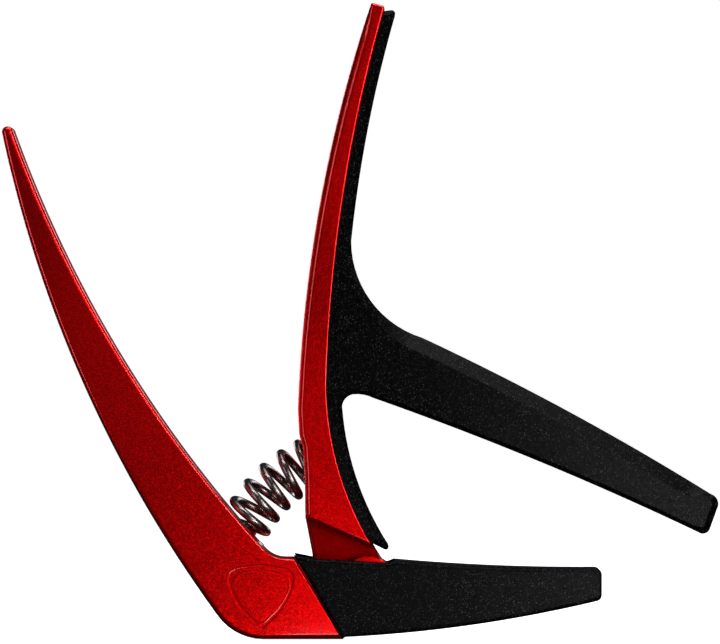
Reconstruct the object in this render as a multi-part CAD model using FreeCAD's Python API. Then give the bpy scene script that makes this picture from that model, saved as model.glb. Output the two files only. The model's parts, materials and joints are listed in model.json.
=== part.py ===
"""Spring-loaded guitar capo, written as one STEP file per piece.

The capo is a hinged clamp. A V-shaped body casting has a handle on its left and a jaw on its
right. A lever casting turns on a steel pin through the body's corner: its upper end is the second
handle, and the bar that leaves its middle presses the strings. A bent compression spring between
the two handles closes the jaws. Both jaws wear rubber mouldings, and the one on the lever also
runs up its back as a finger grip.

Units are millimetres. X runs along the jaws, Y across the capo's width and Z up. The origin is
under the middle of the whole capo, on the surface that it stands on. The capo is the same on both
sides of the plane y = 0.
"""

import FreeCAD
import Part
import math
import os

# ---- hinge ---------------------------------------------------------------------------------
PIVOT_X = 2.4
PIVOT_Z = 7.2
PIN_RADIUS = 1.5
BUSH_CLEARANCE = 0.05
BUSH_OUTER_RADIUS = 2.5
BUSH_FLANGE_RADIUS = 3.7
BUSH_FLANGE = 0.35
HUB_RADIUS = 4.6
HUB_CLEARANCE = 0.4
CHEEK_BOSS_RADIUS = 4.48

# ---- half widths, measured across Y from the middle plane -----------------------------------
BODY_HALF = 6.3
BODY_TIP_HALF = 4.9
CHEEK_HALF = 5.6
ARM_CORE_HALF = 4.2
SLOT_HALF = 3.2
LEVER_HALF = 6.0
LEVER_TIP_HALF = 4.7
KNUCKLE_HALF = 2.75
HEEL_HALF = 1.8
BAR_CORE_HALF = 3.4
BAR_MOULDING_HALF = 6.0
BAR_MOULDING_TIP_HALF = 5.2
NECK_MOULDING_HALF = 6.6
NECK_MOULDING_TIP_HALF = 5.9

# ---- overall levels --------------------------------------------------------------------------
BODY_TOP = 84.4
LEVER_TOP = 104.6
BAR_END = 58.95
NECK_ARM_END = 39.8
CROWN_PEAK_Z = 14.0

# ---- edge radii ------------------------------------------------------------------------------
BODY_EDGE = 0.8
LEVER_EDGE = 0.6

# ---- return spring, wound left-handed and bent round the hinge -------------------------------
SPRING_BEND_RADIUS = 24.2
COIL_RADIUS = 3.725
WIRE_RADIUS = 0.7
SPRING_LEVER_SEAT_DEG = 112.0
SPRING_BODY_SEAT_DEG = 162.7
ACTIVE_COILS = 5.15
SEAT_GAP_DEG = 0.3
END_COILS = 1.0
END_COIL_PITCH_DEG = 4.0
POINTS_PER_COIL = 12
SPRING_START_PHASE = math.radians(85.0)
MOUTH_DEG = 136.0
POCKET_RADIUS = 4.75
SPIGOT_RADIUS = 2.3
SPIGOT_HEIGHT = 1.6

# ---- engraved plectrum badge on both sides of the body's corner ------------------------------
BADGE_X = -16.3
BADGE_Z = 8.0
BADGE_WIDTH = 11.0
BADGE_HEIGHT = 10.8
BADGE_BAND = 0.95
BADGE_DEPTH = 0.25

FAR = 40.0
OUT = "parts"


# ---- drawing helpers -------------------------------------------------------------------------
def point(x, z, y=0.0):
    """A point from its place in the side view."""
    return FreeCAD.Vector(x, y, z)


def turned(radius, degrees):
    """A place in the side view at this radius and angle about the hinge."""
    a = math.radians(degrees)
    return (PIVOT_X + radius * math.cos(a), PIVOT_Z + radius * math.sin(a))


def arc_middle(start, end, radius):
    """The middle of the arc from start to end. A positive radius bulges to the left of travel."""
    dx, dz = end[0] - start[0], end[1] - start[1]
    chord = math.hypot(dx, dz)
    rise = abs(radius) - math.sqrt(radius * radius - chord * chord / 4)
    side = math.copysign(rise, radius) / chord
    return ((start[0] + end[0]) / 2 - dz * side, (start[1] + end[1]) / 2 + dx * side)


def outline(start, *steps):
    """A closed side-view wire. Each step is (x, z) for a line or (x, z, radius) for an arc."""
    edges = []
    here = start
    for step in (*steps, start):
        there = step[:2]
        if math.dist(here, there) < 1e-6:
            continue
        if len(step) == 3:
            middle = arc_middle(here, there, step[2])
            edges.append(Part.Arc(point(*here), point(*middle), point(*there)).toShape())
        else:
            edges.append(Part.LineSegment(point(*here), point(*there)).toShape())
        here = there
    return Part.Wire(edges)


def slab(wire, half):
    """The side-view wire made solid from y = -half to y = half."""
    face = Part.Face(wire)
    face.translate(FreeCAD.Vector(0, -half, 0))
    return face.extrude(FreeCAD.Vector(0, 2 * half, 0))


def disc(radius, half, x=PIVOT_X, z=PIVOT_Z):
    """A cylinder across the capo, centred on the hinge unless told otherwise."""
    return Part.makeCylinder(radius, 2 * half, point(x, z, -half), FreeCAD.Vector(0, 1, 0))


def block(x0, x1, z0, z1, half):
    """A box across the capo."""
    return Part.makeBox(x1 - x0, 2 * half, z1 - z0, point(x0, z0, -half))


def crown(half, tip_half, peak, tip, along_x=False):
    """A long block whose sides bulge: half wide each way at peak, and tip_half at tip."""
    drop = half - tip_half
    radius = ((tip - peak) ** 2 + drop**2) / (2 * drop)
    start, end = peak - FAR, tip + FAR / 2

    def place(along, side):
        reach = half - radius + math.sqrt(radius**2 - (along - peak) ** 2)
        y = side * reach
        return FreeCAD.Vector(along, y, -FAR) if along_x else FreeCAD.Vector(-2 * FAR, y, along)

    sides = [Part.Arc(place(start, s), place(peak, s), place(end, s)).toShape() for s in (-1, 1)]
    ends = [Part.LineSegment(place(at, -1), place(at, 1)).toShape() for at in (start, end)]
    face = Part.Face(Part.Wire([sides[0], ends[1], sides[1], ends[0]]))
    length = FreeCAD.Vector(0, 0, 5 * FAR) if along_x else FreeCAD.Vector(5 * FAR, 0, 0)
    return face.extrude(length)


def rounded(solid, radius, chosen):
    """The solid with the chosen edges filleted."""
    return solid.makeFillet(radius, [e for e in solid.Edges if chosen(e)])


def on_a_side(edge):
    """True for an outline edge of the front or back, and false for one that runs across."""
    middle = edge.valueAt((edge.FirstParameter + edge.LastParameter) / 2)
    return abs(middle.y) > 2.5


def one_solid(shape):
    """The only solid of a boolean's result."""
    clean = shape.removeSplitter()
    if len(clean.Solids) != 1:
        raise ValueError(f"expected one solid and got {len(clean.Solids)}")
    return clean.Solids[0]


def rounded_path(points, share=0.96):
    """A wire of straight runs through the points, joined by tangent arcs as large as they allow."""
    edges = []
    here = points[0]
    for before, corner, after in zip(points, points[1:], points[2:]):
        into = (corner - before).normalize()
        away = (after - corner).normalize()
        turn = into.getAngle(away)
        run = min((corner - before).Length, (after - corner).Length)
        reach = share * run / 2
        radius = reach / math.tan(turn / 2)
        first = corner - into * reach
        last = corner + away * reach
        inward = (away - into).normalize()
        nearest = corner + inward * (radius / math.cos(turn / 2) - radius)
        edges.append(Part.LineSegment(here, first).toShape())
        edges.append(Part.Arc(first, nearest, last).toShape())
        here = last
    edges.append(Part.LineSegment(here, points[-1]).toShape())
    return Part.Wire(edges)


# ---- body casting ----------------------------------------------------------------------------
def body_outline():
    """The side view of the handle and corner, up to the slanting end where the rubber begins."""
    return outline(
        (-58.95, 83.4),
        (-56.95, 83.4, 1.01),
        (-17.06, 16.37, -204.7),
        (-10.75, 13.5, -8.36),
        (-2.75, 0.0),
        (-15.9, 0.0),
        (-23.5, 4.0, 9.22),
        (-58.95, 83.4, 208.8),
    )


def jaw_core_outline():
    """The side view of the hinge cheeks and the jaw's metal core, as they lie under the rubber."""
    return outline(
        (-16.0, 12.2),
        (-1.6, 12.4),
        (4.5, 12.4, CHEEK_BOSS_RADIUS),
        (6.2, 11.2),
        (12.0, 10.9),
        (12.0, 2.5),
        (-2.0, 1.4),
        (-16.0, 1.2),
    )


def arm_core_outline():
    """The side view of the tapering core that reaches out to the end of the jaw."""
    return outline((6.2, 11.2), (37.0, 9.9, -341.6), (37.0, 7.4), (6.2, 1.9, 224.0))


def hinge_slot_outline():
    """The side view of the slot that the lever's knuckle turns in, with its stop face."""
    reach = HUB_RADIUS + HUB_CLEARANCE
    return outline(
        (-12.5, 20.0),
        (-12.5, 7.0),
        turned(reach, 240.0),
        (*turned(reach, 318.0), -reach),
        (*turned(reach, 56.8), -reach),
        (2.5, 15.6),
        (2.5, 20.0),
    )


def badge_outline(inset):
    """A plectrum shape: three bulging sides with rounded corners, drawn inset from its edge."""
    half = BADGE_WIDTH / 2 - inset
    top = BADGE_Z + BADGE_HEIGHT * 0.36 - inset
    tip = BADGE_Z - BADGE_HEIGHT * 0.58 + inset * 1.25
    shoulder = top - 2.6
    return outline(
        (BADGE_X - half + 1.5, top - 0.15),
        (BADGE_X + half - 1.5, top - 0.15, 15.0),
        (BADGE_X + half, shoulder, 1.9),
        (BADGE_X + 1.0, tip + 0.55, 12.0),
        (BADGE_X - 1.0, tip + 0.55, 1.15),
        (BADGE_X - half, shoulder, 12.0),
        (BADGE_X - half + 1.5, top - 0.15, 1.9),
    )


def badge_cutters():
    """The two shallow bands that engrave the badge into the body's sides."""
    band = slab(badge_outline(0.0), BADGE_DEPTH).cut(slab(badge_outline(BADGE_BAND), BADGE_DEPTH))
    cutters = []
    for side in (-1, 1):
        cutter = band.copy()
        cutter.translate(FreeCAD.Vector(0, side * BODY_HALF, 0))
        cutters.append(cutter)
    return cutters


def bent_rod(radius, start_deg, end_deg):
    """A round rod bent about the hinge on the spring's own centre line."""
    a = math.radians(start_deg)
    along = FreeCAD.Vector(-math.sin(a), 0, math.cos(a))
    ring = Part.makeCircle(radius, point(*turned(SPRING_BEND_RADIUS, start_deg)), along)
    face = Part.Face(Part.Wire(ring))
    turn = end_deg - start_deg
    return face.revolve(point(PIVOT_X, PIVOT_Z), FreeCAD.Vector(0, -1, 0), turn)


def with_spring_seat(casting, seat_deg, mouth_deg):
    """The casting with a round pocket from its mouth to the seat, and a spigot on the seat."""
    casting = casting.cut(bent_rod(POCKET_RADIUS, seat_deg, mouth_deg))
    into = math.copysign(2.0, seat_deg - mouth_deg)
    height = math.degrees(SPIGOT_HEIGHT / SPRING_BEND_RADIUS)
    return casting.fuse(bent_rod(SPIGOT_RADIUS, seat_deg + into, seat_deg - math.copysign(height, into)))


def jaw_core():
    """The cheeks and the arm core as solid metal, before the hinge slot is cut."""
    cheeks = slab(jaw_core_outline(), CHEEK_HALF)
    return cheeks.fuse(slab(arm_core_outline(), ARM_CORE_HALF))


def body_casting():
    """The painted casting: handle, corner, hinge cheeks and jaw core."""
    shell = slab(body_outline(), FAR)
    shell = shell.common(crown(BODY_HALF, BODY_TIP_HALF, CROWN_PEAK_Z, BODY_TOP))
    shell = rounded(shell, BODY_EDGE, on_a_side)
    shell = with_spring_seat(shell, SPRING_BODY_SEAT_DEG, MOUTH_DEG)
    casting = shell.fuse(jaw_core())
    casting = casting.cut(slab(hinge_slot_outline(), SLOT_HALF))
    casting = casting.cut(disc(PIN_RADIUS, FAR))
    for cutter in badge_cutters():
        casting = casting.cut(cutter)
    return one_solid(casting)


# ---- lever casting ---------------------------------------------------------------------------
def lever_outline():
    """The side view of the lever's full-width part, from its tip to the step above the knuckle."""
    return outline(
        (1.4, 103.6),
        (3.7, 103.3, 1.17),
        (-5.35, 41.6, -249.5),
        (2.1, 15.8, -52.0),
        (-8.3, 20.6),
        (-10.25, 37.6, 148.0),
        (1.4, 103.6, 233.3),
    )


def knuckle():
    """The narrow part that drops from the lever into the body's slot and ends in the hub."""
    neck = outline(
        (-8.8, 22.8),
        (0.0, 19.0),
        (1.0, 17.0),
        turned(HUB_RADIUS, 75.0),
        turned(HUB_RADIUS, 200.0),
        (-7.55, 11.0),
        (-8.0, 13.9),
    )
    return slab(neck, KNUCKLE_HALF).fuse(disc(HUB_RADIUS, KNUCKLE_HALF))


def heel_outline():
    """The side view of the thin heel whose right edge meets the body's stop face at rest."""
    return outline((1.2, 16.8), (5.76, 10.0), (PIVOT_X, PIVOT_Z), (-3.5, 13.0), (-2.0, 17.6))


def bar_core_outline():
    """The side view of the metal tongue inside the string bar."""
    return outline(
        (-7.2, 62.0),
        (-5.4, 59.5),
        (9.2, 47.2, -19.5),
        (54.6, 22.9, 453.7),
        (53.6, 20.0),
        (3.0, 41.6, -540.9),
        (-3.4, 44.5, 8.0),
        (-8.2, 44.5),
    )


def spring_relief_outline():
    """The side view of the shallow dip in the lever's outer edges beside the spring."""
    return outline((-12.0, 33.4), (-9.9, 33.2), (-9.3, 32.0), (-8.9, 25.2), (-9.3, 23.6), (-12.0, 23.6))


def lever_casting():
    """The painted casting: second handle, knuckle, heel and string bar core."""
    shell = slab(lever_outline(), FAR)
    shell = shell.common(crown(LEVER_HALF, LEVER_TIP_HALF, CROWN_PEAK_Z, LEVER_TOP))
    shell = rounded(shell, LEVER_EDGE, on_a_side)
    shell = shell.cut(slab(spring_relief_outline(), FAR))
    shell = with_spring_seat(shell, SPRING_LEVER_SEAT_DEG, MOUTH_DEG)
    casting = shell.fuse(knuckle()).fuse(slab(heel_outline(), HEEL_HALF))
    casting = casting.fuse(slab(bar_core_outline(), BAR_CORE_HALF))
    casting = casting.cut(disc(BUSH_OUTER_RADIUS, FAR))
    return one_solid(casting)


# ---- rubber mouldings ------------------------------------------------------------------------
def bar_moulding_outline():
    """The side view of the grip strip, the string bar and the tail behind the neck."""
    return outline(
        (3.4, 102.4),
        (5.7, 102.4, 1.16),
        (-1.45, 65.4, -215.2),
        (10.3, 49.5, -16.7),
        (57.8, 23.8, 453.7),
        (BAR_END, 21.9, 1.7),
        (57.5, 18.0),
        (56.1, 17.3, 1.3),
        (2.2, 39.6, -540.9),
        (-1.2, 40.2, -6.0),
        (-2.9, 37.6, -2.2),
        (4.7, 15.3, -48.3),
        (3.9, 14.8, 0.5),
        (2.0, 15.7),
        (-5.5, 24.0),
        (-6.5, 58.0),
        (-2.2, 85.0),
    )


def string_bar_moulding(lever):
    """The rubber moulded over the bar core and up the lever's back."""
    bar_sides = crown(BAR_MOULDING_HALF, BAR_MOULDING_TIP_HALF, 0.0, BAR_END, along_x=True)
    strip_sides = crown(BAR_MOULDING_HALF, LEVER_TIP_HALF - 0.3, CROWN_PEAK_Z, LEVER_TOP)
    moulding = slab(bar_moulding_outline(), FAR).common(bar_sides).common(strip_sides)
    moulding = moulding.cut(slab(lever_outline(), FAR))
    moulding = moulding.cut(slab(bar_core_outline(), BAR_CORE_HALF))
    return one_solid(moulding.cut(lever))


def neck_moulding_outline():
    """The side view of the rubber over the lower jaw, flush with the body's slanting end."""
    return outline(
        (-10.95, 13.95),
        (-7.7, 13.25),
        (4.6, 12.55),
        (5.6, 12.95),
        (38.8, 11.6, -341.6),
        (NECK_ARM_END, 10.6, 1.0),
        (NECK_ARM_END, 7.3),
        (38.8, 6.2, 1.1),
        (-2.4, 0.35, 224.2),
        (-2.9, 0.0),
    )


def neck_moulding(body):
    """The rubber sleeve over the lower jaw, open on top over the hinge."""
    sides = crown(NECK_MOULDING_HALF, NECK_MOULDING_TIP_HALF, 5.6, NECK_ARM_END, along_x=True)
    moulding = slab(neck_moulding_outline(), FAR).common(sides)
    moulding = moulding.cut(jaw_core())
    moulding = moulding.cut(block(-14.0, 5.6, 11.0, 16.0, CHEEK_HALF))
    return one_solid(moulding.cut(body.fuse(slab(hinge_slot_outline(), SLOT_HALF))))


# ---- hinge hardware and spring ---------------------------------------------------------------
def pivot_pin():
    """The steel pin, pressed into both cheeks and hidden by the rubber."""
    pin = disc(PIN_RADIUS, CHEEK_HALF)
    return pin.makeChamfer(0.25, [e for e in pin.Edges if e.Closed])


def hub_bush(side):
    """One flanged plastic bush, pressed into the lever's hub from this side."""
    inner = PIN_RADIUS + BUSH_CLEARANCE
    length = KNUCKLE_HALF - 0.1
    start = point(PIVOT_X, PIVOT_Z, side * 0.1)
    axis = FreeCAD.Vector(0, side, 0)
    barrel = Part.makeCylinder(BUSH_OUTER_RADIUS, length, start, axis)
    flange_start = point(PIVOT_X, PIVOT_Z, side * KNUCKLE_HALF)
    flange = Part.makeCylinder(BUSH_FLANGE_RADIUS, BUSH_FLANGE, flange_start, axis)
    return one_solid(barrel.fuse(flange).cut(disc(inner, FAR)))


def spring_centreline():
    """Points along the wire: closed end coils, then even coils, all turned about the hinge."""
    first = SPRING_LEVER_SEAT_DEG + math.degrees(WIRE_RADIUS / SPRING_BEND_RADIUS) + SEAT_GAP_DEG
    last = SPRING_BODY_SEAT_DEG - math.degrees(WIRE_RADIUS / SPRING_BEND_RADIUS) - SEAT_GAP_DEG
    active_pitch = (last - first - 2 * END_COILS * END_COIL_PITCH_DEG) / ACTIVE_COILS
    coils = ACTIVE_COILS + 2 * END_COILS
    count = round(coils * POINTS_PER_COIL)
    points = []
    for i in range(count + 1):
        turns = coils * i / count
        start_turns = min(turns, END_COILS)
        end_turns = max(0.0, turns - END_COILS - ACTIVE_COILS)
        angle = first + (start_turns + end_turns) * END_COIL_PITCH_DEG
        angle += (turns - start_turns - end_turns) * active_pitch
        phase = 2 * math.pi * turns + SPRING_START_PHASE
        x, z = turned(SPRING_BEND_RADIUS + COIL_RADIUS * math.cos(phase), angle)
        points.append(point(x, z, -COIL_RADIUS * math.sin(phase)))
    return points


def return_spring():
    """The coil spring as one bent helix of round wire."""
    path = rounded_path(spring_centreline())
    start = path.Edges[0]
    direction = start.tangentAt(start.FirstParameter)
    ring = Part.Wire(Part.makeCircle(WIRE_RADIUS, path.Vertexes[0].Point, direction))
    return path.makePipeShell([ring], True, False)


def main():
    """Builds every piece and writes it to the parts folder."""
    os.makedirs(OUT, exist_ok=True)
    body = body_casting()
    lever = lever_casting()
    pieces = {
        "body_casting": body,
        "lever_casting": lever,
        "string_bar_moulding": string_bar_moulding(lever),
        "neck_moulding": neck_moulding(body),
        "pivot_pin": pivot_pin(),
        "front_hub_bush": hub_bush(-1),
        "rear_hub_bush": hub_bush(1),
        "return_spring": return_spring(),
    }
    for name, shape in pieces.items():
        shape.exportStep(os.path.join(OUT, name + ".step"))
        box = shape.BoundBox
        print(
            f"{name}: valid {shape.isValid()} volume {shape.Volume:.1f} "
            f"x {box.XMin:.2f} {box.XMax:.2f} z {box.ZMin:.2f} {box.ZMax:.2f}"
        )


main()
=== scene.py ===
"""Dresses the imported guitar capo: castings, rubber mouldings, return spring, finishes and studio.

Lengths in the modelling classes are in millimetres and angles in degrees, in the capo's side view.
"""

import json
import logging
import math
from dataclasses import dataclass, field
from enum import Enum, IntEnum
from typing import Callable

import bpy
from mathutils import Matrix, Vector

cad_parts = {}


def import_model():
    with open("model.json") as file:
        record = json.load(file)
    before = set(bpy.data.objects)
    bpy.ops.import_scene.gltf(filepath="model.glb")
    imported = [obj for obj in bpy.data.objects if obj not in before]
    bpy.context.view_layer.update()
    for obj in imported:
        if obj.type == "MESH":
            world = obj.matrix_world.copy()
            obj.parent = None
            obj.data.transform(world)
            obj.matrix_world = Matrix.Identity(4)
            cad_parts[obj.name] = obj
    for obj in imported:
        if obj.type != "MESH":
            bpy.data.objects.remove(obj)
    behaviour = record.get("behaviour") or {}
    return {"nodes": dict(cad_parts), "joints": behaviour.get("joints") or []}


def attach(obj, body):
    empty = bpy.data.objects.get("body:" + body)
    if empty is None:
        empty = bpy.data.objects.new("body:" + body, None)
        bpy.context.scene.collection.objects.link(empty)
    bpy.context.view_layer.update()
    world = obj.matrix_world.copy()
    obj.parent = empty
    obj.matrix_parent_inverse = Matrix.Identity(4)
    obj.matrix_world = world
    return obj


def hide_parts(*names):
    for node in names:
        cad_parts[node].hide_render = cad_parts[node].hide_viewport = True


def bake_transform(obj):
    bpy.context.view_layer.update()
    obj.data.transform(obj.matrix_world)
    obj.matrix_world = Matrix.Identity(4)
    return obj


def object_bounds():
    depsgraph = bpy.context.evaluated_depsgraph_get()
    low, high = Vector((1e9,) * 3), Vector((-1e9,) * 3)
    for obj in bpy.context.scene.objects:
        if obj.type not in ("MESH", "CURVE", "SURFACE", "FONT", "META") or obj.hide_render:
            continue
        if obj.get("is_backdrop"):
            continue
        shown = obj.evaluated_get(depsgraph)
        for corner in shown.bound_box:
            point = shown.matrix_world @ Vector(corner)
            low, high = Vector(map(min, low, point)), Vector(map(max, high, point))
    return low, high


Place = tuple[float, float]

LOG = logging.getLogger("capo")
MM = 0.001
SIDE_FACING = 0.8  # a face whose normal is turned this much to Y belongs to a side
FACET_DEGREES = 9  # the most that one facet of an arc may turn
BAND = 3.0  # the width of the bands that follow a crowned side
THROUGH = 40.0  # half the length of a cutter that passes right through

SPRING_BEND_RADIUS = 24.2
SPRING_POCKET_RADIUS = 4.75
SPRING_SPIGOT_RADIUS = 2.3
LEVER_FOOT_RADIUS = 52.0
LEVER_BACK_RADIUS = 249.5
BAR_TOP_RADIUS = 453.7
BAR_UNDERSIDE_RADIUS = 540.9
CHEEK_HALF = 5.6
JAW_CORE_HALF = 4.2


class Rim(Enum):
    """How far a moulding's long edges are rounded, in millimetres."""

    FULL = 2.4
    SOFT = 1.1
    SLIM = 0.7


class Along(IntEnum):
    """An axis of the side view, by its place in a coordinate."""

    X = 0
    Z = 2


# ---- small helpers ---------------------------------------------------------------------------
def colour(code: str) -> tuple[float, float, float, float]:
    """Turns an sRGB hex code into a linear colour with full alpha.

    Args:
        code: Six hex digits after a hash.

    Returns:
        Red, green, blue and alpha.
    """
    parts = [int(code[i : i + 2], 16) / 255 for i in (1, 3, 5)]
    red, green, blue = (c / 12.92 if c <= 0.04045 else ((c + 0.055) / 1.055) ** 2.4 for c in parts)
    return red, green, blue, 1.0


def share_along(value: float, start: float, length: float) -> float:
    """How far a value is along a stretch: 0 up to its start, and 1 from its end on."""
    return min(max((value - start) / length, 0.0), 1.0)


def set_inputs(tree: bpy.types.NodeTree, node: bpy.types.Node, inputs: dict) -> None:
    """Gives a node's inputs their values and links.

    Args:
        tree: The node's tree.
        node: The node.
        inputs: A value or an output socket for each input, by name or number.
    """
    for name, value in inputs.items():
        if isinstance(value, bpy.types.NodeSocket):
            tree.links.new(value, node.inputs[name])
        else:
            node.inputs[name].default_value = value


def add_node(
    tree: bpy.types.NodeTree, kind: str, inputs: dict | None = None, **settings
) -> bpy.types.Node:
    """Adds a node with its settings, values and links.

    Args:
        tree: The node tree to add to.
        kind: The node's type name.
        inputs: A value or an output socket for each input, by name or number.
        settings: Attributes of the node itself.

    Returns:
        The new node.
    """
    node = tree.nodes.new(kind)
    for name, value in settings.items():
        setattr(node, name, value)
    set_inputs(tree, node, inputs or {})
    return node


def deselect_all() -> None:
    """Leaves object mode with nothing selected."""
    if bpy.context.mode != "OBJECT":
        bpy.ops.object.mode_set(mode="OBJECT")
    bpy.ops.object.select_all(action="DESELECT")


def make_active(piece: bpy.types.Object) -> None:
    """Makes this the only selected object and the active one.

    Args:
        piece: The object.
    """
    deselect_all()
    piece.select_set(True)
    bpy.context.view_layer.objects.active = piece


def apply_modifier(piece: bpy.types.Object, kind: str, **settings) -> None:
    """Adds a modifier with these settings and applies it at once.

    Args:
        piece: The object that it changes.
        kind: The type of modifier.
        settings: Attributes of the modifier.
    """
    make_active(piece)
    modifier = piece.modifiers.new(kind.title(), kind)
    for name, value in settings.items():
        setattr(modifier, name, value)
    bpy.ops.object.modifier_apply(modifier=modifier.name)


def face_outwards() -> None:
    """Turns every face outwards and leaves edit mode."""
    bpy.ops.mesh.select_all(action="SELECT")
    bpy.ops.mesh.normals_make_consistent(inside=False)
    bpy.ops.object.mode_set(mode="OBJECT")


def around(middle: Place, reach: float, angle: float) -> Place:
    """The place at this distance from a middle, at this angle in radians."""
    return middle[0] + reach * math.cos(angle), middle[1] + reach * math.sin(angle)


def arc_centre(start: Place, end: Place, radius: float) -> Place:
    """Finds the centre of a short arc. A positive radius bulges to the left of travel.

    Args:
        start: Where the arc starts.
        end: Where it ends.
        radius: Its radius, with the sign of its bulge.

    Returns:
        The centre.
    """
    dx, dz = end[0] - start[0], end[1] - start[1]
    chord = math.hypot(dx, dz)
    side = math.copysign(math.sqrt(radius * radius - chord * chord / 4), radius) / chord
    return (start[0] + end[0]) / 2 + dz * side, (start[1] + end[1]) / 2 - dx * side


def line_gap(place: Place, start: Place, end: Place) -> float:
    """How far a place is from the straight line through two others.

    Args:
        place: The place.
        start: The line's start.
        end: The line's end.

    Returns:
        The distance.
    """
    dx, dz = end[0] - start[0], end[1] - start[1]
    return abs(dx * (place[1] - start[1]) - dz * (place[0] - start[0])) / math.hypot(dx, dz)


def arc_places(start: Place, end: Place, radius: float, spacing: float) -> list[Place]:
    """Evenly spaced places on an arc, after its start and up to its end.

    Args:
        start: Where the arc starts.
        end: Where it ends.
        radius: Its radius, with the sign of its bulge.
        spacing: The longest step between two places.

    Returns:
        The places.
    """
    chord = math.dist(start, end)
    centre = arc_centre(start, end, radius)
    sweep = 2 * math.asin(min(1.0, chord / 2 / abs(radius)))
    turn = -math.copysign(sweep, radius)
    first = math.atan2(start[1] - centre[1], start[0] - centre[0])
    by_turn = math.ceil(math.degrees(sweep) / FACET_DEGREES)
    count = max(2, math.ceil(abs(radius) * sweep / spacing), by_turn)
    return [around(centre, abs(radius), first + turn * i / count) for i in range(1, count + 1)]


def outline(start: Place, *steps: tuple, spacing: float = 1.6) -> list[Place]:
    """Places round a closed side view. Each step is (x, z) for a line or (x, z, radius) for an arc.

    Args:
        start: The first place.
        steps: The lines and arcs, in order.
        spacing: The longest step along an arc.

    Returns:
        The places, without the first one again.
    """
    places = [start]
    for step in steps:
        if len(step) == 3:
            places += arc_places(places[-1], step[:2], step[2], spacing)
        else:
            places.append(step)
    if math.dist(places[0], places[-1]) < 1e-4:
        places.pop()
    return places


def draw_slab(name: str, places: list[Place], half: float) -> bpy.types.Object:
    """Pulls a vertex round a side view, fills it, and pulls the face across the capo's width.

    Args:
        name: The new object's name.
        places: The outline's places in millimetres.
        half: Half of the slab's width in millimetres.

    Returns:
        A closed slab with its normals outwards.
    """
    deselect_all()
    bpy.ops.mesh.primitive_plane_add(size=MM)
    piece = bpy.context.active_object
    piece.name = name
    bpy.ops.object.mode_set(mode="EDIT")
    bpy.ops.mesh.select_all(action="SELECT")
    bpy.ops.mesh.merge(type="CENTER")
    bpy.ops.transform.translate(value=(places[0][0] * MM, -half * MM, places[0][1] * MM))
    for here, there in zip(places, places[1:]):
        step = ((there[0] - here[0]) * MM, 0.0, (there[1] - here[1]) * MM)
        bpy.ops.mesh.extrude_region_move(TRANSFORM_OT_translate={"value": step})
    bpy.ops.mesh.select_all(action="SELECT")
    bpy.ops.mesh.edge_face_add()
    bpy.ops.mesh.extrude_region_move(TRANSFORM_OT_translate={"value": (0.0, 2 * half * MM, 0.0)})
    face_outwards()
    return piece


def slice_bands(piece: bpy.types.Object, axis: Along) -> None:
    """Cuts the faces into bands across one axis, so that they can follow a gentle curve.

    Args:
        piece: The mesh to cut.
        axis: The axis that the bands follow each other along.
    """
    low = min(v.co[axis] for v in piece.data.vertices)
    high = max(v.co[axis] for v in piece.data.vertices)
    normal = [0.0, 0.0, 0.0]
    normal[axis] = 1.0
    make_active(piece)
    bpy.ops.object.mode_set(mode="EDIT")
    for i in range(1, math.ceil((high - low) / (BAND * MM))):
        at = [0.0, 0.0, 0.0]
        at[axis] = low + i * BAND * MM
        bpy.ops.mesh.select_all(action="SELECT")
        bpy.ops.mesh.bisect(plane_co=at, plane_no=normal)
    bpy.ops.object.mode_set(mode="OBJECT")


def cut_away(piece: bpy.types.Object, cutter: bpy.types.Object) -> None:
    """Takes the cutter's shape out of the piece and removes the cutter."""
    apply_modifier(piece, "BOOLEAN", operation="DIFFERENCE", solver="EXACT", object=cutter)
    bpy.data.objects.remove(cutter, do_unlink=True)


def join_on(piece: bpy.types.Object, extra: bpy.types.Object) -> None:
    """Adds the extra shape to the piece as one closed solid."""
    apply_modifier(piece, "BOOLEAN", operation="UNION", solver="EXACT", object=extra)
    bpy.data.objects.remove(extra, do_unlink=True)


def crown_sides(
    piece: bpy.types.Object, axis: Along, half: float, tip_half: float, peak: float, tip: float
) -> None:
    """Narrows a piece beyond its peak in one gentle curve, from half wide each way to tip_half.

    Args:
        piece: The mesh to narrow.
        axis: The axis that the curve runs along.
        half: Half of the width up to the peak, in millimetres.
        tip_half: Half of the width at the tip.
        peak: Where the narrowing starts along the axis.
        tip: Where it has reached tip_half.
    """
    drop = (half - tip_half) / ((tip - peak) * MM) ** 2 / half
    for vertex in piece.data.vertices:
        vertex.co.y *= 1 - drop * max(vertex.co[axis] - peak * MM, 0.0) ** 2


def bent_rod(name: str, pivot: Place, radius: float, first: float, last: float) -> bpy.types.Object:
    """Spins a disc about the hinge into a round rod that is bent like the spring.

    Args:
        name: The new object's name.
        pivot: The hinge's place in millimetres.
        radius: The rod's own radius.
        first: The lower of its two end angles in degrees.
        last: The higher of the two.

    Returns:
        A closed rod with its normals outwards.
    """
    deselect_all()
    start = math.radians(first)
    x, z = around(pivot, SPRING_BEND_RADIUS, start)
    bpy.ops.mesh.primitive_circle_add(
        vertices=40,
        radius=radius * MM,
        fill_type="NGON",
        location=(x * MM, 0.0, z * MM),
        rotation=(0.0, -start, 0.0),
    )
    rod = bpy.context.active_object
    rod.name = name
    bpy.ops.object.transform_apply(location=True, rotation=True, scale=True)
    bpy.ops.object.mode_set(mode="EDIT")
    bpy.ops.mesh.select_all(action="SELECT")
    bpy.ops.mesh.spin(
        steps=max(2, round((last - first) / 3)),
        angle=math.radians(last - first),
        center=(pivot[0] * MM, 0.0, pivot[1] * MM),
        axis=(0.0, -1.0, 0.0),
    )
    face_outwards()
    return rod


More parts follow.
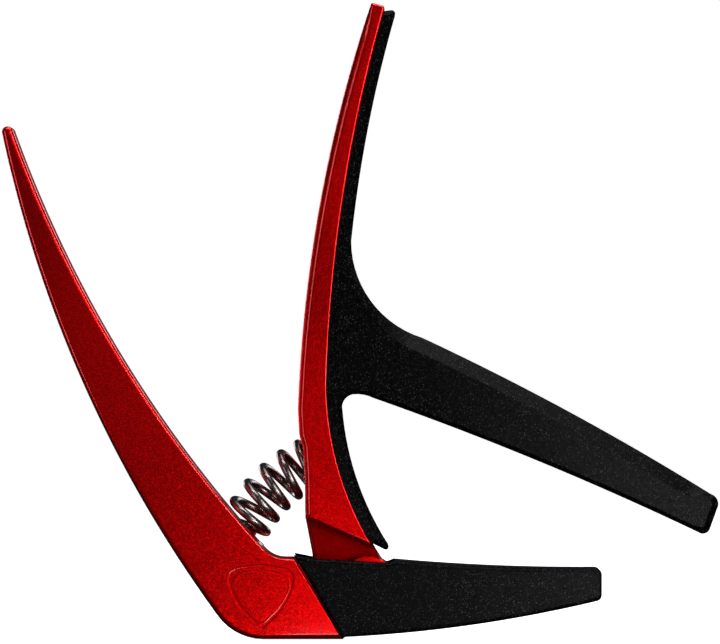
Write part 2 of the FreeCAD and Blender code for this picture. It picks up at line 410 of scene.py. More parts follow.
def seat_spring(piece: bpy.types.Object, pivot: Place, pocket: Place, spigot: Place) -> None:
    """Sinks a pocket for one end of the spring into a handle, and stands a spigot in it.

    Args:
        piece: The handle's casting.
        pivot: The hinge's place in millimetres.
        pocket: The angles about the hinge that the pocket is cut between, in degrees.
        spigot: The angles that the spigot stands between.
    """
    cut_away(piece, bent_rod("pocket_cutter", pivot, SPRING_POCKET_RADIUS, *pocket))
    join_on(piece, bent_rod("spring_spigot", pivot, SPRING_SPIGOT_RADIUS, *spigot))


def cross_disc(name: str, at: Place, radius: float, half: float) -> bpy.types.Object:
    """A round disc across the capo's width, as a cutter or as a hub to join on.

    Args:
        name: The new object's name.
        at: Its middle in the side view.
        radius: Its radius.
        half: Half of its width across the capo.

    Returns:
        A closed disc.
    """
    deselect_all()
    bpy.ops.mesh.primitive_cylinder_add(
        vertices=72,
        radius=radius * MM,
        depth=2 * half * MM,
        location=(at[0] * MM, 0.0, at[1] * MM),
        rotation=(math.pi / 2, 0.0, 0.0),
    )
    bpy.context.active_object.name = name
    return bpy.context.active_object


def round_by_place(
    piece: bpy.types.Object,
    rim_at: Callable[[Place], float],
    widest: float,
    segments: int,
    profile: float = 0.5,
) -> None:
    """Rounds the edges between a side face and the surface that runs across, by place.

    Args:
        piece: The slab to round.
        rim_at: Gives the rim's width in millimetres at an edge's middle.
        widest: The width of the fullest rim in millimetres.
        segments: Facets in each rounding.
        profile: 0.5 for a round rim, and near 0.25 for a flat chamfer with soft ends.
    """
    mesh = piece.data
    sides = {}
    for face in mesh.polygons:
        is_side = abs(face.normal.y) > SIDE_FACING
        for key in face.edge_keys:
            sides.setdefault(key, []).append(is_side)
    weights = mesh.attributes.get("bevel_weight_edge")
    weights = weights or mesh.attributes.new("bevel_weight_edge", "FLOAT", "EDGE")
    for edge in mesh.edges:
        found = sides.get(edge.key, [])
        if len(found) == 2 and found[0] != found[1]:
            middle = (mesh.vertices[edge.vertices[0]].co + mesh.vertices[edge.vertices[1]].co) / 2
            weights.data[edge.index].value = rim_at((middle.x / MM, middle.z / MM)) / widest
    apply_modifier(
        piece,
        "BEVEL",
        width=widest * MM,
        segments=segments,
        profile=profile,
        limit_method="WEIGHT",
        offset_type="OFFSET",
        use_clamp_overlap=False,
        miter_outer="MITER_SHARP",
    )


def jaw_core_view() -> list[Place]:
    """The outline of the casting's core inside the lower jaw's rubber."""
    return outline((6.2, 11.2), (37.0, 9.9, -341.6), (37.0, 7.4), (6.2, 1.9, 224.0))


def smooth_shade(piece: bpy.types.Object, angle: float = 35.0) -> None:
    """Shades the piece smooth up to this edge angle, weighted by face size.

    Args:
        piece: The object to shade.
        angle: The sharpest edge that still looks smooth.
    """
    make_active(piece)
    bpy.ops.object.shade_smooth_by_angle(angle=math.radians(angle))
    apply_modifier(piece, "WEIGHTED_NORMAL", keep_sharp=True)


# ---- finishes --------------------------------------------------------------------------------
def new_material(name: str) -> tuple[bpy.types.Material, bpy.types.NodeTree, bpy.types.Node]:
    """Makes a material with nodes.

    Args:
        name: The material's name.

    Returns:
        The material, its node tree and its principled shader.
    """
    mat = bpy.data.materials.new(name)
    mat.use_nodes = True
    tree = mat.node_tree
    return mat, tree, next(n for n in tree.nodes if n.type == "BSDF_PRINCIPLED")


@dataclass(frozen=True)
class FlakePaint:
    """Translucent red stoving enamel over bright metal flake, on cast aluminium, then lacquered.

    The flakes sparkle one by one, each tilted its own way, and some are painted brighter red as painted
    sparkle; the smooth lacquer carries a second, sharp reflection.
    """

    name: str = "red_flake_enamel"
    deep: str = "#b40002"
    bright: str = "#ec0304"
    flake_mm: float = 0.15  # coarser than real flake, so that single ones can be seen
    cloud_mm: float = 40.0
    dull_share: float = 0.55
    # How far the brightest flakes are painted towards the bright red, as painted sparkle.
    painted_sparkle: float = 0.3
    tilt: float = 0.15
    coat: float = 0.7
    roughness: float = 0.36

    def material(self) -> bpy.types.Material:
        """Builds the material.

        Returns:
            The material.
        """
        mat, tree, shader = new_material(self.name)
        place = add_node(tree, "ShaderNodeTexCoord").outputs["Object"]
        flake = {"Vector": place, "Scale": 1 / (self.flake_mm * MM)}
        flakes = add_node(tree, "ShaderNodeTexVoronoi", flake).outputs["Color"]
        cloud = {"Vector": place, "Scale": 1 / (self.cloud_mm * MM), "Detail": 1.0}
        clouds = add_node(tree, "ShaderNodeTexNoise", cloud).outputs["Fac"]
        ramp = add_node(tree, "ShaderNodeValToRGB", {"Fac": clouds})
        ends = ((0.3, self.deep), (0.75, self.bright))
        for element, (position, code) in zip(ramp.color_ramp.elements, ends):
            element.position = position
            element.color = colour(code)
        split = add_node(tree, "ShaderNodeSeparateColor", {"Color": flakes})
        # Some flakes are mixed towards the bright red: painted sparkle.
        painted_sparkle = add_node(
            tree,
            "ShaderNodeMapRange",
            {"Value": split.outputs["Red"], "From Min": self.dull_share, "To Max": self.painted_sparkle},
        )
        base = add_node(
            tree,
            "ShaderNodeMix",
            {"Factor": painted_sparkle.outputs["Result"], "A": ramp.outputs["Color"], "B": colour(self.bright)},
            data_type="RGBA",
        )
        inputs = {
            "Base Color": base.outputs["Result"],
            "Normal": self.tilted(tree, flakes),
            "Metallic": 1.0,
            "Roughness": self.roughness,
            "Coat Weight": self.coat,
            "Coat Roughness": 0.08,
        }
        set_inputs(tree, shader, inputs)
        return mat

    def tilted(self, tree: bpy.types.NodeTree, flakes: bpy.types.NodeSocket) -> bpy.types.NodeSocket:
        """Tilts the surface a little on each flake, each its own way.

        Args:
            tree: The material's node tree.
            flakes: A random colour for each flake.

        Returns:
            The tilted normal.
        """
        result = flakes
        surface = add_node(tree, "ShaderNodeNewGeometry").outputs["Normal"]
        steps = (
            ("SUBTRACT", (0.5, 0.5, 0.5)),
            ("MULTIPLY", (self.tilt,) * 3),
            ("ADD", surface),
            ("NORMALIZE", (0.0, 0.0, 0.0)),
        )
        for operation, other in steps:
            node = add_node(tree, "ShaderNodeVectorMath", {0: result, 1: other}, operation=operation)
            result = node.outputs["Vector"]
        return result


@dataclass(frozen=True)
class GrainedRubber:
    """Black thermoplastic rubber, injection moulded in a fine spark-eroded tool.

    The surface is matt, with a sandy grain; scattered grains are painted light grey as painted glints.
    """

    name: str = "grained_black_rubber"
    base: str = "#020202"
    # Light grey painted on scattered grains as painted glints.
    tip: str = "#66666f"
    painted_glints_from: float = 0.93
    painted_glint_strength: float = 0.3
    grain_mm: float = 0.13  # coarser than spark erosion leaves, so that single grains can be seen
    grain_depth_mm: float = 0.05
    smoothest: float = 0.14
    roughest: float = 0.38

    def material(self) -> bpy.types.Material:
        """Builds the material.

        Returns:
            The material.
        """
        mat, tree, shader = new_material(self.name)
        place = add_node(tree, "ShaderNodeTexCoord").outputs["Object"]
        grain = {"Vector": place, "Scale": 1 / (self.grain_mm * MM)}
        grains = add_node(tree, "ShaderNodeTexVoronoi", grain).outputs
        split = add_node(tree, "ShaderNodeSeparateColor", {"Color": grains["Color"]}).outputs
        # Scattered grains are mixed towards the light grey: painted glints.
        painted_glints = add_node(
            tree,
            "ShaderNodeMapRange",
            {"Value": split["Green"], "From Min": self.painted_glints_from, "To Max": self.painted_glint_strength},
        )
        base = add_node(
            tree,
            "ShaderNodeMix",
            {"Factor": painted_glints.outputs["Result"], "A": colour(self.base), "B": colour(self.tip)},
            data_type="RGBA",
        )
        bump = add_node(
            tree,
            "ShaderNodeBump",
            {"Height": grains["Distance"], "Strength": 0.5, "Distance": self.grain_depth_mm * MM},
        )
        rough = add_node(
            tree,
            "ShaderNodeMapRange",
            {"Value": split["Blue"], "To Min": self.smoothest, "To Max": self.roughest},
        )
        inputs = {
            "Base Color": base.outputs["Result"],
            "Normal": bump.outputs["Normal"],
            "Roughness": rough.outputs["Result"],
            "IOR": 1.5,
            "Specular IOR Level": 0.045,
        }
        set_inputs(tree, shader, inputs)
        return mat


@dataclass(frozen=True)
class BrightMetal:
    """Bare or plated steel, with the faint lines of its drawing or grinding breaking its shine."""

    name: str
    tone: str
    roughness: float
    line_mm: float
    line_depth_mm: float

    def material(self) -> bpy.types.Material:
        """Builds the material.

        Returns:
            The material.
        """
        mat, tree, shader = new_material(self.name)
        place = add_node(tree, "ShaderNodeTexCoord").outputs["Object"]
        line = {"Vector": place, "Scale": 1 / (self.line_mm * MM), "Detail": 4.0}
        lines = add_node(tree, "ShaderNodeTexNoise", line).outputs["Fac"]
        rough = add_node(
            tree,
            "ShaderNodeMapRange",
            {"Value": lines, "To Min": self.roughness * 0.6, "To Max": self.roughness * 1.5},
        )
        bump = add_node(
            tree,
            "ShaderNodeBump",
            {"Height": lines, "Strength": 0.4, "Distance": self.line_depth_mm * MM},
        )
        inputs = {
            "Base Color": colour(self.tone),
            "Metallic": 1.0,
            "Roughness": rough.outputs["Result"],
            "Normal": bump.outputs["Normal"],
        }
        set_inputs(tree, shader, inputs)
        return mat


@dataclass(frozen=True)
class NaturalNylon:
    """Unpigmented nylon as it comes from the mould: milky, with a soft sheen and faint flow marks."""

    name: str = "natural_nylon"
    base: str = "#e6e1d2"
    shade: str = "#d2ccb8"
    flow_mm: float = 1.5
    flow_depth_mm: float = 0.05

    def material(self) -> bpy.types.Material:
        """Builds the material.

        Returns:
            The material.
        """
        mat, tree, shader = new_material(self.name)
        place = add_node(tree, "ShaderNodeTexCoord").outputs["Object"]
        mark = {"Vector": place, "Scale": 1 / (self.flow_mm * MM), "Detail": 5.0}
        flow = add_node(tree, "ShaderNodeTexNoise", mark).outputs["Fac"]
        base = add_node(
            tree,
            "ShaderNodeMix",
            {"Factor": flow, "A": colour(self.base), "B": colour(self.shade)},
            data_type="RGBA",
        )
        bump = add_node(
            tree,
            "ShaderNodeBump",
            {"Height": flow, "Strength": 0.3, "Distance": self.flow_depth_mm * MM},
        )
        inputs = {
            "Base Color": base.outputs["Result"],
            "Normal": bump.outputs["Normal"],
            "Roughness": 0.42,
            "IOR": 1.53,
        }
        set_inputs(tree, shader, inputs)
        return mat


def dress(piece: bpy.types.Object, mat: bpy.types.Material) -> None:
    """Gives the whole piece one material."""
    piece.data.materials.clear()
    piece.data.materials.append(mat)


def dress_faces(
    piece: bpy.types.Object, mat: bpy.types.Material, chosen: Callable[[bpy.types.MeshPolygon], bool]
) -> None:
    """Gives the chosen faces a second material.

    Args:
        piece: The piece.
        mat: The second material.
        chosen: True for a face that takes it.
    """
    piece.data.materials.append(mat)
    for face in piece.data.polygons:
        if chosen(face):
            face.material_index = 1


def dress_node(part: bpy.types.Object, mat: bpy.types.Material) -> None:
    """Gives a carried-over CAD node one material in every slot.

    Args:
        part: The node's object.
        mat: The material.
    """
    for slot in part.material_slots:
        slot.material = mat
    if not part.material_slots:
        part.data.materials.append(mat)


# ---- painted castings ------------------------------------------------------------------------
@dataclass
class BodyCasting:
    """The painted casting of the long handle and corner, with the hinge cheeks and the jaw's core."""

    pivot: Place
    finish: bpy.types.Material
    half: float = 6.3
    tip_half: float = 4.9
    crown_peak: float = 14.0
    tip_height: float = 84.4
    slot_half: float = 3.2
    slot_reach: float = 5.0
    pin_hole: float = 1.5
    outer_rim: float = 0.9
    inner_rim: float = 0.5
    inner_rim_growth: float = 0.006
    inner_rim_foot: float = 15.0
    inner_reach: float = 0.4
    seam_rim: float = 0.3
    seam_reach: float = 0.2
    cheek_rim: float = 0.35
    cheek_rim_foot: float = 12.0
    inner_start: Place = (-56.95, 83.4)
    inner_end: Place = (-15.64, 14.80)
    inner_radius: float = 204.7
    seam_top: Place = (-10.75, 13.3)
    seam_foot: Place = (-2.75, 0.0)
    badge_middle: float = -16.3
    badge_half: float = 5.5
    badge_top: float = 11.9
    badge_tip: float = 1.7
    badge_line: float = 0.95
    badge_depth: float = 0.32
    badge_rim: float = 0.3

    def build(self) -> bpy.types.Object:
        """Models the casting and puts it on the body.

        Returns:
            The finished piece.
        """
        piece = draw_slab("body_painted_casting", self.side_view(), self.half)
        round_by_place(piece, self.rim, self.outer_rim, 6)
        slice_bands(piece, Along.Z)
        crown_sides(piece, Along.Z, self.half, self.tip_half, self.crown_peak, self.tip_height)
        seat_spring(piece, self.pivot, pocket=(136.0, 162.7), spigot=(158.9, 165.0))
        self.add_cheeks(piece)
        self.engrave(piece)
        smooth_shade(piece, 28.0)
        dress(piece, self.finish)
        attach(piece, "body")
        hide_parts("body_casting")
        return piece

    def side_view(self) -> list[Place]:
        """The outline of the handle and corner, up to the slanting seam where the rubber begins."""
        return outline(
            (-58.95, 83.4),
            (*self.inner_start, 1.01),
            (*self.inner_end, -self.inner_radius),
            (-12.4, 13.3, -4.6),
            self.seam_top,
            self.seam_foot,
            (-15.9, 0.0),
            (-23.5, 4.0, 9.22),
            (-58.95, 83.4, 208.8),
        )

    def rim(self, at: Place) -> float:
        """Says how wide the rim is at a place.

        Args:
            at: A place in the side view.

        Returns:
            The rim's width, in millimetres.
        """
        if line_gap(at, self.seam_top, self.seam_foot) < self.seam_reach:
            return self.seam_rim
        centre = arc_centre(self.inner_start, self.inner_end, -self.inner_radius)
        if math.dist(at, centre) < self.inner_radius + self.inner_reach:
            return self.inner_rim + self.inner_rim_growth * max(at[1] - self.inner_rim_foot, 0.0)
        return self.outer_rim

    def add_cheeks(self, piece: bpy.types.Object) -> None:
        """Joins the hinge cheeks and the jaw's core on, and cuts the slot and the pin's hole.

        Args:
            piece: The casting.
        """
        cheeks = outline(
            (-16.0, 12.2),
            (-1.6, 12.4),
            (4.5, 12.4, 4.48),
            (6.2, 11.2),
            (12.0, 10.9),
            (12.0, 2.5),
            (-2.0, 1.4),
            (-16.0, 1.2),
            spacing=0.5,
        )
        cheek = draw_slab("hinge_cheeks", cheeks, CHEEK_HALF)
        round_by_place(cheek, self.top_rim, self.cheek_rim, 3)
        join_on(piece, cheek)
        join_on(piece, draw_slab("jaw_core", jaw_core_view(), JAW_CORE_HALF))
        cut_away(piece, draw_slab("slot_cutter", self.slot_view(), self.slot_half))
        cut_away(piece, cross_disc("pin_cutter", self.pivot, self.pin_hole, THROUGH))

    def top_rim(self, at: Place) -> float:
        """The width of the cheeks' rim at a place: only their tops are rounded."""
        return self.cheek_rim if at[1] > self.cheek_rim_foot else 0.0

    def slot_view(self) -> list[Place]:
        """The outline of the slot that the lever's knuckle turns in, with its stop face.

        Returns:
            The outline, in millimetres.
        """
        reach = self.slot_reach
        first, lowest, last = (around(self.pivot, reach, math.radians(a)) for a in (240.0, 318.0, 56.8))
        return outline(
            (-12.5, 20.0),
            (-12.5, 7.0),
            first,
            (*lowest, -reach),
            (*last, -reach),
            (2.5, 15.6),
            (2.5, 20.0),
        )

    def plectrum(self, inset: float) -> list[Place]:
        """A guitar plectrum: three bulging sides with rounded corners, drawn inset from its edge.

        Args:
            inset: How far inside its edge the outline runs.

        Returns:
            The outline, in millimetres.
        """
        at, half = self.badge_middle, self.badge_half - inset
        top, tip = self.badge_top - inset, self.badge_tip + inset * 1.25
        return outline(
            (at - half + 1.5, top - 0.15),
            (at + half - 1.5, top - 0.15, 15.0),
            (at + half, top - 2.6, 1.9),
            (at + 1.0, tip + 0.55, 12.0),
            (at - 1.0, tip + 0.55, 1.15),
            (at - half, top - 2.6, 12.0),
            (at - half + 1.5, top - 0.15, 1.9),
            spacing=0.5,
        )

    def engrave(self, piece: bpy.types.Object) -> None:
        """Engraves the plectrum as a rounded groove on both sides of the corner.

        Args:
            piece: The casting.
        """
        for side in (-1, 1):
            groove = draw_slab("badge_cutter", self.plectrum(0.0), self.badge_depth)
            cut_away(groove, draw_slab("badge_middle", self.plectrum(self.badge_line), 1.0))
            round_by_place(groove, lambda at: self.badge_rim, self.badge_rim, 3)
            groove.location.y = side * self.half * MM
            cut_away(piece, groove)


@dataclass
class LeverCasting:
    """The painted casting of the second handle, with the knuckle, heel and string bar core."""

    pivot: Place
    finish: bpy.types.Material
    # The darker, duller enamel of the recessed knuckle: painted shade in the recess.
    recess_painted_shade: bpy.types.Material
    half: float = 6.0
    tip_half: float = 4.7
    crown_peak: float = 14.0
    tip_height: float = 104.6
    knuckle_half: float = 2.75
    heel_half: float = 1.8
    bar_core_half: float = 3.4
    hub_radius: float = 4.6
    bush_hole: float = 2.5
    inner_rim: float = 0.4
    step_rim: float = 0.8
    step_reach: float = 0.3
    outer_rim: float = 0.95
    outer_rim_growth: float = 0.008
    outer_rim_foot: float = 32.0
    outer_rim_fade: Place = (99.0, 5.0)
    outer_reach: float = 1.3
    widest_rim: float = 1.5
    knuckle_rim: float = 0.7
    knuckle_hidden_rim: float = 0.3
    knuckle_hidden_from: float = -4.0
    recess_top: float = 20.0
    outer_start: Place = (-10.25, 37.6)
    outer_end: Place = (1.7, 104.2)
    outer_radius: float = 233.3
    step_left: Place = (-9.0, 19.8)
    step_right: Place = (2.55, 14.75)

    def build(self) -> bpy.types.Object:
        """Models the casting and puts it on the lever.

        Returns:
            The finished piece.
        """
        piece = draw_slab("lever_painted_casting", self.side_view(), self.half)
        round_by_place(piece, self.rim, self.widest_rim, 8, 0.42)
        slice_bands(piece, Along.Z)
        crown_sides(piece, Along.Z, self.half, self.tip_half, self.crown_peak, self.tip_height)
        self.add_knuckle(piece)
        seat_spring(piece, self.pivot, pocket=(112.0, 136.0), spigot=(109.7, 115.8))
        cut_away(piece, cross_disc("bush_cutter", self.pivot, self.bush_hole, THROUGH))
        smooth_shade(piece, 28.0)
        dress(piece, self.finish)
        # The recessed knuckle faces take the darker enamel: painted shade.
        dress_faces(piece, self.recess_painted_shade, self.on_knuckle)
        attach(piece, "lever")
        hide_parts("lever_casting")
        return piece

    def side_view(self) -> list[Place]:
        """The outline of the lever's full-width part, with the shallow dip beside the spring."""
        return outline(
            self.outer_end,
            (2.2, 104.55, 0.45),
            (3.5, 104.2),
            (4.02, 103.4, 0.6),
            (-5.35, 41.6, -LEVER_BACK_RADIUS),
            (*self.step_right, -LEVER_FOOT_RADIUS),
            self.step_left,
            (-9.05, 26.0),
            (-9.4, 31.6),
            (-10.0, 33.6),
            self.outer_start,
            (*self.outer_end, self.outer_radius),
        )

    def rim(self, at: Place) -> float:
        """Says how wide the rim is at a place.

        Args:
            at: A place in the side view.

        Returns:
            The rim's width, in millimetres.
        """
        if line_gap(at, self.step_left, self.step_right) < self.step_reach:
            return self.step_rim
        centre = arc_centre(self.outer_start, self.outer_end, self.outer_radius)
        if math.dist(at, centre) > self.outer_radius - self.outer_reach:
            width = self.outer_rim + self.outer_rim_growth * max(at[1] - self.outer_rim_foot, 0.0)
            return width + share_along(at[1], *self.outer_rim_fade) * (self.inner_rim - width)
        return self.inner_rim

    def on_knuckle(self, face: bpy.types.MeshPolygon) -> bool:
        """True for the recessed faces below the step, which take the darker enamel as painted shade."""
        inside = abs(face.center.y) < (self.knuckle_half + 0.1) * MM
        return inside and face.center.z < self.recess_top * MM

    def neck_rim(self, at: Place) -> float:
        """The width of the knuckle's rim at a place: fuller on the left, where it shows."""
        return self.knuckle_rim if at[0] < self.knuckle_hidden_from else self.knuckle_hidden_rim

    def add_knuckle(self, piece: bpy.types.Object) -> None:
        """Joins the knuckle, hub, heel and the string bar's core on.

        Args:
            piece: The casting.
        """
        neck = outline(
            (-8.9, 22.8),
            (0.0, 19.0),
            (1.7, 16.0),
            (4.0, 12.6),
            (3.59, 11.64),
            (-1.92, 5.63),
            (-7.5, 11.0),
            (-7.9, 14.2),
            (-9.0, 20.0),
        )
        knuckle = draw_slab("knuckle", neck, self.knuckle_half)
        round_by_place(knuckle, self.neck_rim, self.knuckle_rim, 4)
        join_on(piece, knuckle)
        join_on(piece, cross_disc("hub", self.pivot, self.hub_radius, self.knuckle_half))
        heel = outline((1.2, 16.8), (5.76, 10.0), self.pivot, (-3.5, 13.0), (-2.0, 17.6))
        join_on(piece, draw_slab("heel", heel, self.heel_half))
        core = outline(
            (-7.2, 62.0),
            (-5.4, 59.5),
            (9.2, 47.2, -19.5),
            (54.6, 22.9, BAR_TOP_RADIUS),
            (53.6, 20.0),
            (3.0, 41.6, -BAR_UNDERSIDE_RADIUS),
            (-3.4, 44.5, 8.0),
            (-8.2, 44.5),
        )
        join_on(piece, draw_slab("bar_core", core, self.bar_core_half))


# ---- rubber mouldings ------------------------------------------------------------------------
@dataclass
class StringBarRubber:
    """The one-piece rubber of the grip strip, the string bar and the tail behind the neck."""

    half: float = 6.0
    bar_end: float = 58.9
    bar_end_half: float = 5.2
    tip_half: float = 4.4
    tip_height: float = 103.4
    crown_peak: float = 14.0
    end_rim_from: float = 55.5
    top_rim_ramp: Place = (-1.5, 9.0)
    top_rim_ceiling: float = 64.0
    top_rim_floor: float = 51.0
    top_rim_slope: float = 0.5
    touch_gap: float = 0.1
    back_foot: Place = (1.7, 15.9)
    back_middle: Place = (-5.62, 41.6)
    back_tip: Place = (3.6, 103.2)
    finish: GrainedRubber = field(default_factory=GrainedRubber)

    def side_view(self) -> list[Place]:
        """The outline of the moulding, with its inner edge on the lever's back."""
        return outline(
            self.back_tip,
            (5.15, 103.4),
            (5.78, 102.7, 0.6),
            (-1.45, 65.4, -215.2),
            (10.3, 49.5, -16.7),
            (57.75, 23.8, BAR_TOP_RADIUS),
            (self.bar_end, 21.9, 1.7),
            (57.5, 18.0),
            (56.1, 17.3, 1.3),
            (2.2, 39.6, -BAR_UNDERSIDE_RADIUS),
            (-1.2, 40.2, -6.0),
            (-2.9, 37.6, -2.2),
            (4.7, 15.3, -48.3),
            (3.9, 14.8, 0.5),
            self.back_foot,
            (*self.back_middle, LEVER_FOOT_RADIUS),
            (*self.back_tip, LEVER_BACK_RADIUS),
        )

    def build(self) -> bpy.types.Object:
        """Models the moulding and puts it on the lever.

        Returns:
            The finished piece.
        """
        piece = draw_slab("string_bar_rubber", self.side_view(), self.half)
        round_by_place(piece, self.rim, Rim.FULL.value, 5, 0.25)
        slice_bands(piece, Along.Z)
        slice_bands(piece, Along.X)
        self.crown(piece)
        smooth_shade(piece)
        dress(piece, self.finish.material())
        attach(piece, "lever")
        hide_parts("string_bar_moulding")
        return piece

    def crown(self, piece: bpy.types.Object) -> None:
        """Narrows the moulding towards the bar's end and the strip's tip, in two gentle curves.

        Args:
            piece: The moulding.
        """
        bar_drop = (self.half - self.bar_end_half) / (self.bar_end * MM) ** 2
        tip_drop = (self.half - self.tip_half) / ((self.tip_height - self.crown_peak) * MM) ** 2
        for vertex in piece.data.vertices:
            out = max(vertex.co.x, 0.0) ** 2 * bar_drop
            up = max(vertex.co.z - self.crown_peak * MM, 0.0) ** 2 * tip_drop
            vertex.co.y *= 1 - (out + up) / self.half

    def rim(self, at: Place) -> float:
        """How wide the rim is at this place: full along the bar's top, and slim on the grip strip.

        Args:
            at: A place in the side view.

        Returns:
            The rim's width, in millimetres.
        """
        x, z = at
        if self.meets_lever(at):
            return 0.0
        if x > self.end_rim_from:
            return Rim.SOFT.value
        on_top = self.top_rim_floor - self.top_rim_slope * x < z < self.top_rim_ceiling
        share = share_along(x, *self.top_rim_ramp) if on_top else 0.0
        return Rim.SLIM.value + share * (Rim.FULL.value - Rim.SLIM.value)

    def meets_lever(self, at: Place) -> bool:
        """True on the two arcs where the moulding lies against the lever's back.

        Args:
            at: A place in the side view.

        Returns:
            True for a place on one of the arcs.
        """
        arcs = (
            (self.back_foot, self.back_middle, LEVER_FOOT_RADIUS),
            (self.back_middle, self.back_tip, LEVER_BACK_RADIUS),
        )
        for start, end, radius in arcs:
            off = abs(math.dist(at, arc_centre(start, end, radius)) - radius)
            if start[1] <= at[1] <= end[1] and off < self.touch_gap:
                return True
        return False


@dataclass
class NeckRubber:
    """The rubber sleeve over the lower jaw, with the neck pad as its hollow top."""

    half: float = 6.6
    end: float = 39.75
    end_half: float = 5.9
    crown_peak: float = 5.6
    finish: GrainedRubber = field(default_factory=GrainedRubber)

    def side_view(self) -> list[Place]:
        """The outline of the sleeve, flush with the casting's slanting end."""
        return outline(
            (-10.9, 13.9),
            (-7.7, 13.25),
            (4.6, 12.55),
            (5.6, 12.95),
            (38.8, 11.6, -341.6),
            (self.end, 10.6, 1.0),
            (self.end, 7.3),
            (38.8, 6.2, 1.1),
            (-2.4, 0.36, 224.2),
            (-2.9, 0.02),
        )

    def build(self) -> bpy.types.Object:
        """Models the sleeve, opens it over the hinge and puts it on the body.

        Returns:
            The finished piece.
        """
        piece = draw_slab("neck_pad_rubber", self.side_view(), self.half)
        round_by_place(piece, lambda at: Rim.SLIM.value, Rim.SLIM.value, 4)
        self.open_over_hinge(piece)
        slice_bands(piece, Along.X)
        crown_sides(piece, Along.X, self.half, self.end_half, self.crown_peak, self.end)
        smooth_shade(piece)
        dress(piece, self.finish.material())
        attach(piece, "body")
        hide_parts("neck_moulding")
        return piece

    def open_over_hinge(self, piece: bpy.types.Object) -> None:
        """Hollows the sleeve to take the hinge cheeks and the jaw's core.

        Args:
            piece: The sleeve.
        """
        cheeks = outline(
            (-16.0, 20.0),
            (5.6, 20.0),
            (5.6, 11.2),
            (12.0, 10.9),
            (12.0, 2.5),
            (-2.0, 1.4),
            (-16.0, 1.2),
        )
        cut_away(piece, draw_slab("cheek_cutter", cheeks, CHEEK_HALF))
        cut_away(piece, draw_slab("core_cutter", jaw_core_view(), JAW_CORE_HALF))


# ---- return spring ---------------------------------------------------------------------------
@dataclass
class ReturnSpring:
    """The left-handed compression spring, bent round the hinge between its two seats."""

    pivot: Place
    coil_radius: float = 3.725
    wire_radius: float = 0.7
    lever_seat: float = 112.0
    body_seat: float = 162.7
    seat_gap: float = 0.3
    active_coils: float = 5.15
    end_coils: float = 1.0
    end_pitch: float = 4.0
    start_phase: float = 85.0
    points_per_coil: int = 28
    past_seats: float = 0.12
    finish: BrightMetal = BrightMetal("nickel_plated_spring_wire", "#756d6b", 0.26, 0.6, 0.002)

    def place(self, reach: float, y: float, angle: float) -> Vector:
        """A place in metres, at a distance and an angle in radians about the hinge."""
        x, z = around(self.pivot, reach, angle)
        return Vector((x, y, z)) * MM

    def centre_line(self) -> list[Vector]:
        """Places along the wire, in metres, from the lever's seat to the body's.

        Returns:
            The places, in order.
        """
        lean = math.degrees(self.wire_radius / SPRING_BEND_RADIUS) + self.seat_gap
        first, last = self.lever_seat + lean, self.body_seat - lean
        pitch = (last - first - 2 * self.end_coils * self.end_pitch) / self.active_coils
        coils = self.active_coils + 2 * self.end_coils
        count = round(coils * self.points_per_coil)
        places = []
        for i in range(count + 1):
            turns = coils * i / count
            closed = min(turns, self.end_coils) + max(0.0, turns - self.end_coils - self.active_coils)
            angle = math.radians(first + closed * self.end_pitch + (turns - closed) * pitch)
            phase = math.tau * turns + math.radians(self.start_phase)
            reach = SPRING_BEND_RADIUS + self.coil_radius * math.cos(phase)
            places.append(self.place(reach, -self.coil_radius * math.sin(phase), angle))
        return places

    def build(self) -> bpy.types.Object:
        """Winds the wire round the hinge, from the lever's seat to the body's.

        Returns:
            The finished piece.
        """
        deselect_all()
        bpy.ops.curve.primitive_nurbs_path_add()
        piece = bpy.context.active_object
        piece.name = "bent_return_spring"
        path = piece.data
        path.splines.clear()
        spline = path.splines.new("NURBS")
        places = self.centre_line()
        spline.points.add(len(places) - 1)
        for point, place in zip(spline.points, places):
            point.co = (*place, 1.0)
        spline.order_u = 3
        spline.use_endpoint_u = True
        spline.resolution_u = 2
        path.bevel_depth = self.wire_radius * MM
        path.bevel_resolution = 5
        path.use_fill_caps = True
        make_active(piece)
        bpy.ops.object.convert(target="MESH")
        piece = bpy.context.active_object
        bpy.ops.object.shade_smooth_by_angle(angle=math.radians(50))
        dress(piece, self.finish.material())
        start = self.place(SPRING_BEND_RADIUS, 0.0, math.radians(self.body_seat))
        end = self.place(SPRING_BEND_RADIUS, 0.0, math.radians(self.lever_seat))
        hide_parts("return_spring")
        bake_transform(piece)
        return piece


# ---- studio ----------------------------------------------------------------------------------
@dataclass(frozen=True)
class Softbox:
    """One rectangular area light: its place and size in metres, and its power in watts."""

    name: str
    place: tuple[float, float, float]
    width: float
    height: float
    power: float

    def light(self, target: Vector) -> None:
        """Stands the light in its place, aimed at the target.

        Args:
            target: The place that it faces, in metres.
        """
        deselect_all()
        bpy.ops.object.light_add(type="AREA", location=self.place)
        lamp = bpy.context.active_object
        lamp.name = self.name
        lamp.data.shape = "RECTANGLE"
        lamp.data.size, lamp.data.size_y = self.width, self.height
        lamp.data.energy = self.power
        lamp.visible_camera = False
        lamp.rotation_euler = (target - Vector(self.place)).to_track_quat("-Z", "Y").to_euler()


LIGHTS = (
    Softbox("side_glow", (0.12, -0.2, 0.015), 0.05, 0.05, 0.27),
    Softbox("side_high", (0.14, -0.3, 0.13), 0.05, 0.05, 0.15),
    Softbox("corner_glow", (0.002, -0.12, -0.02), 0.03, 0.03, 0.021),
    Softbox("left_wall", (-0.46, -0.42, 0.07), 0.12, 0.4, 0.5),
    Softbox("right_wall", (0.42, -0.42, 0.2), 0.12, 0.4, 0.9),
    Softbox("high_strip", (0.05, -0.14, 0.5), 0.6, 0.03, 1.2),
    Softbox("top", (0.1, 0.02, 0.6), 0.4, 0.4, 1.4),
    Softbox("rear_left", (-0.4, 0.5, 0.12), 0.3, 0.3, 1.1),
    Softbox("rear_right", (0.4, 0.45, 0.2), 0.3, 0.3, 1.1),
)


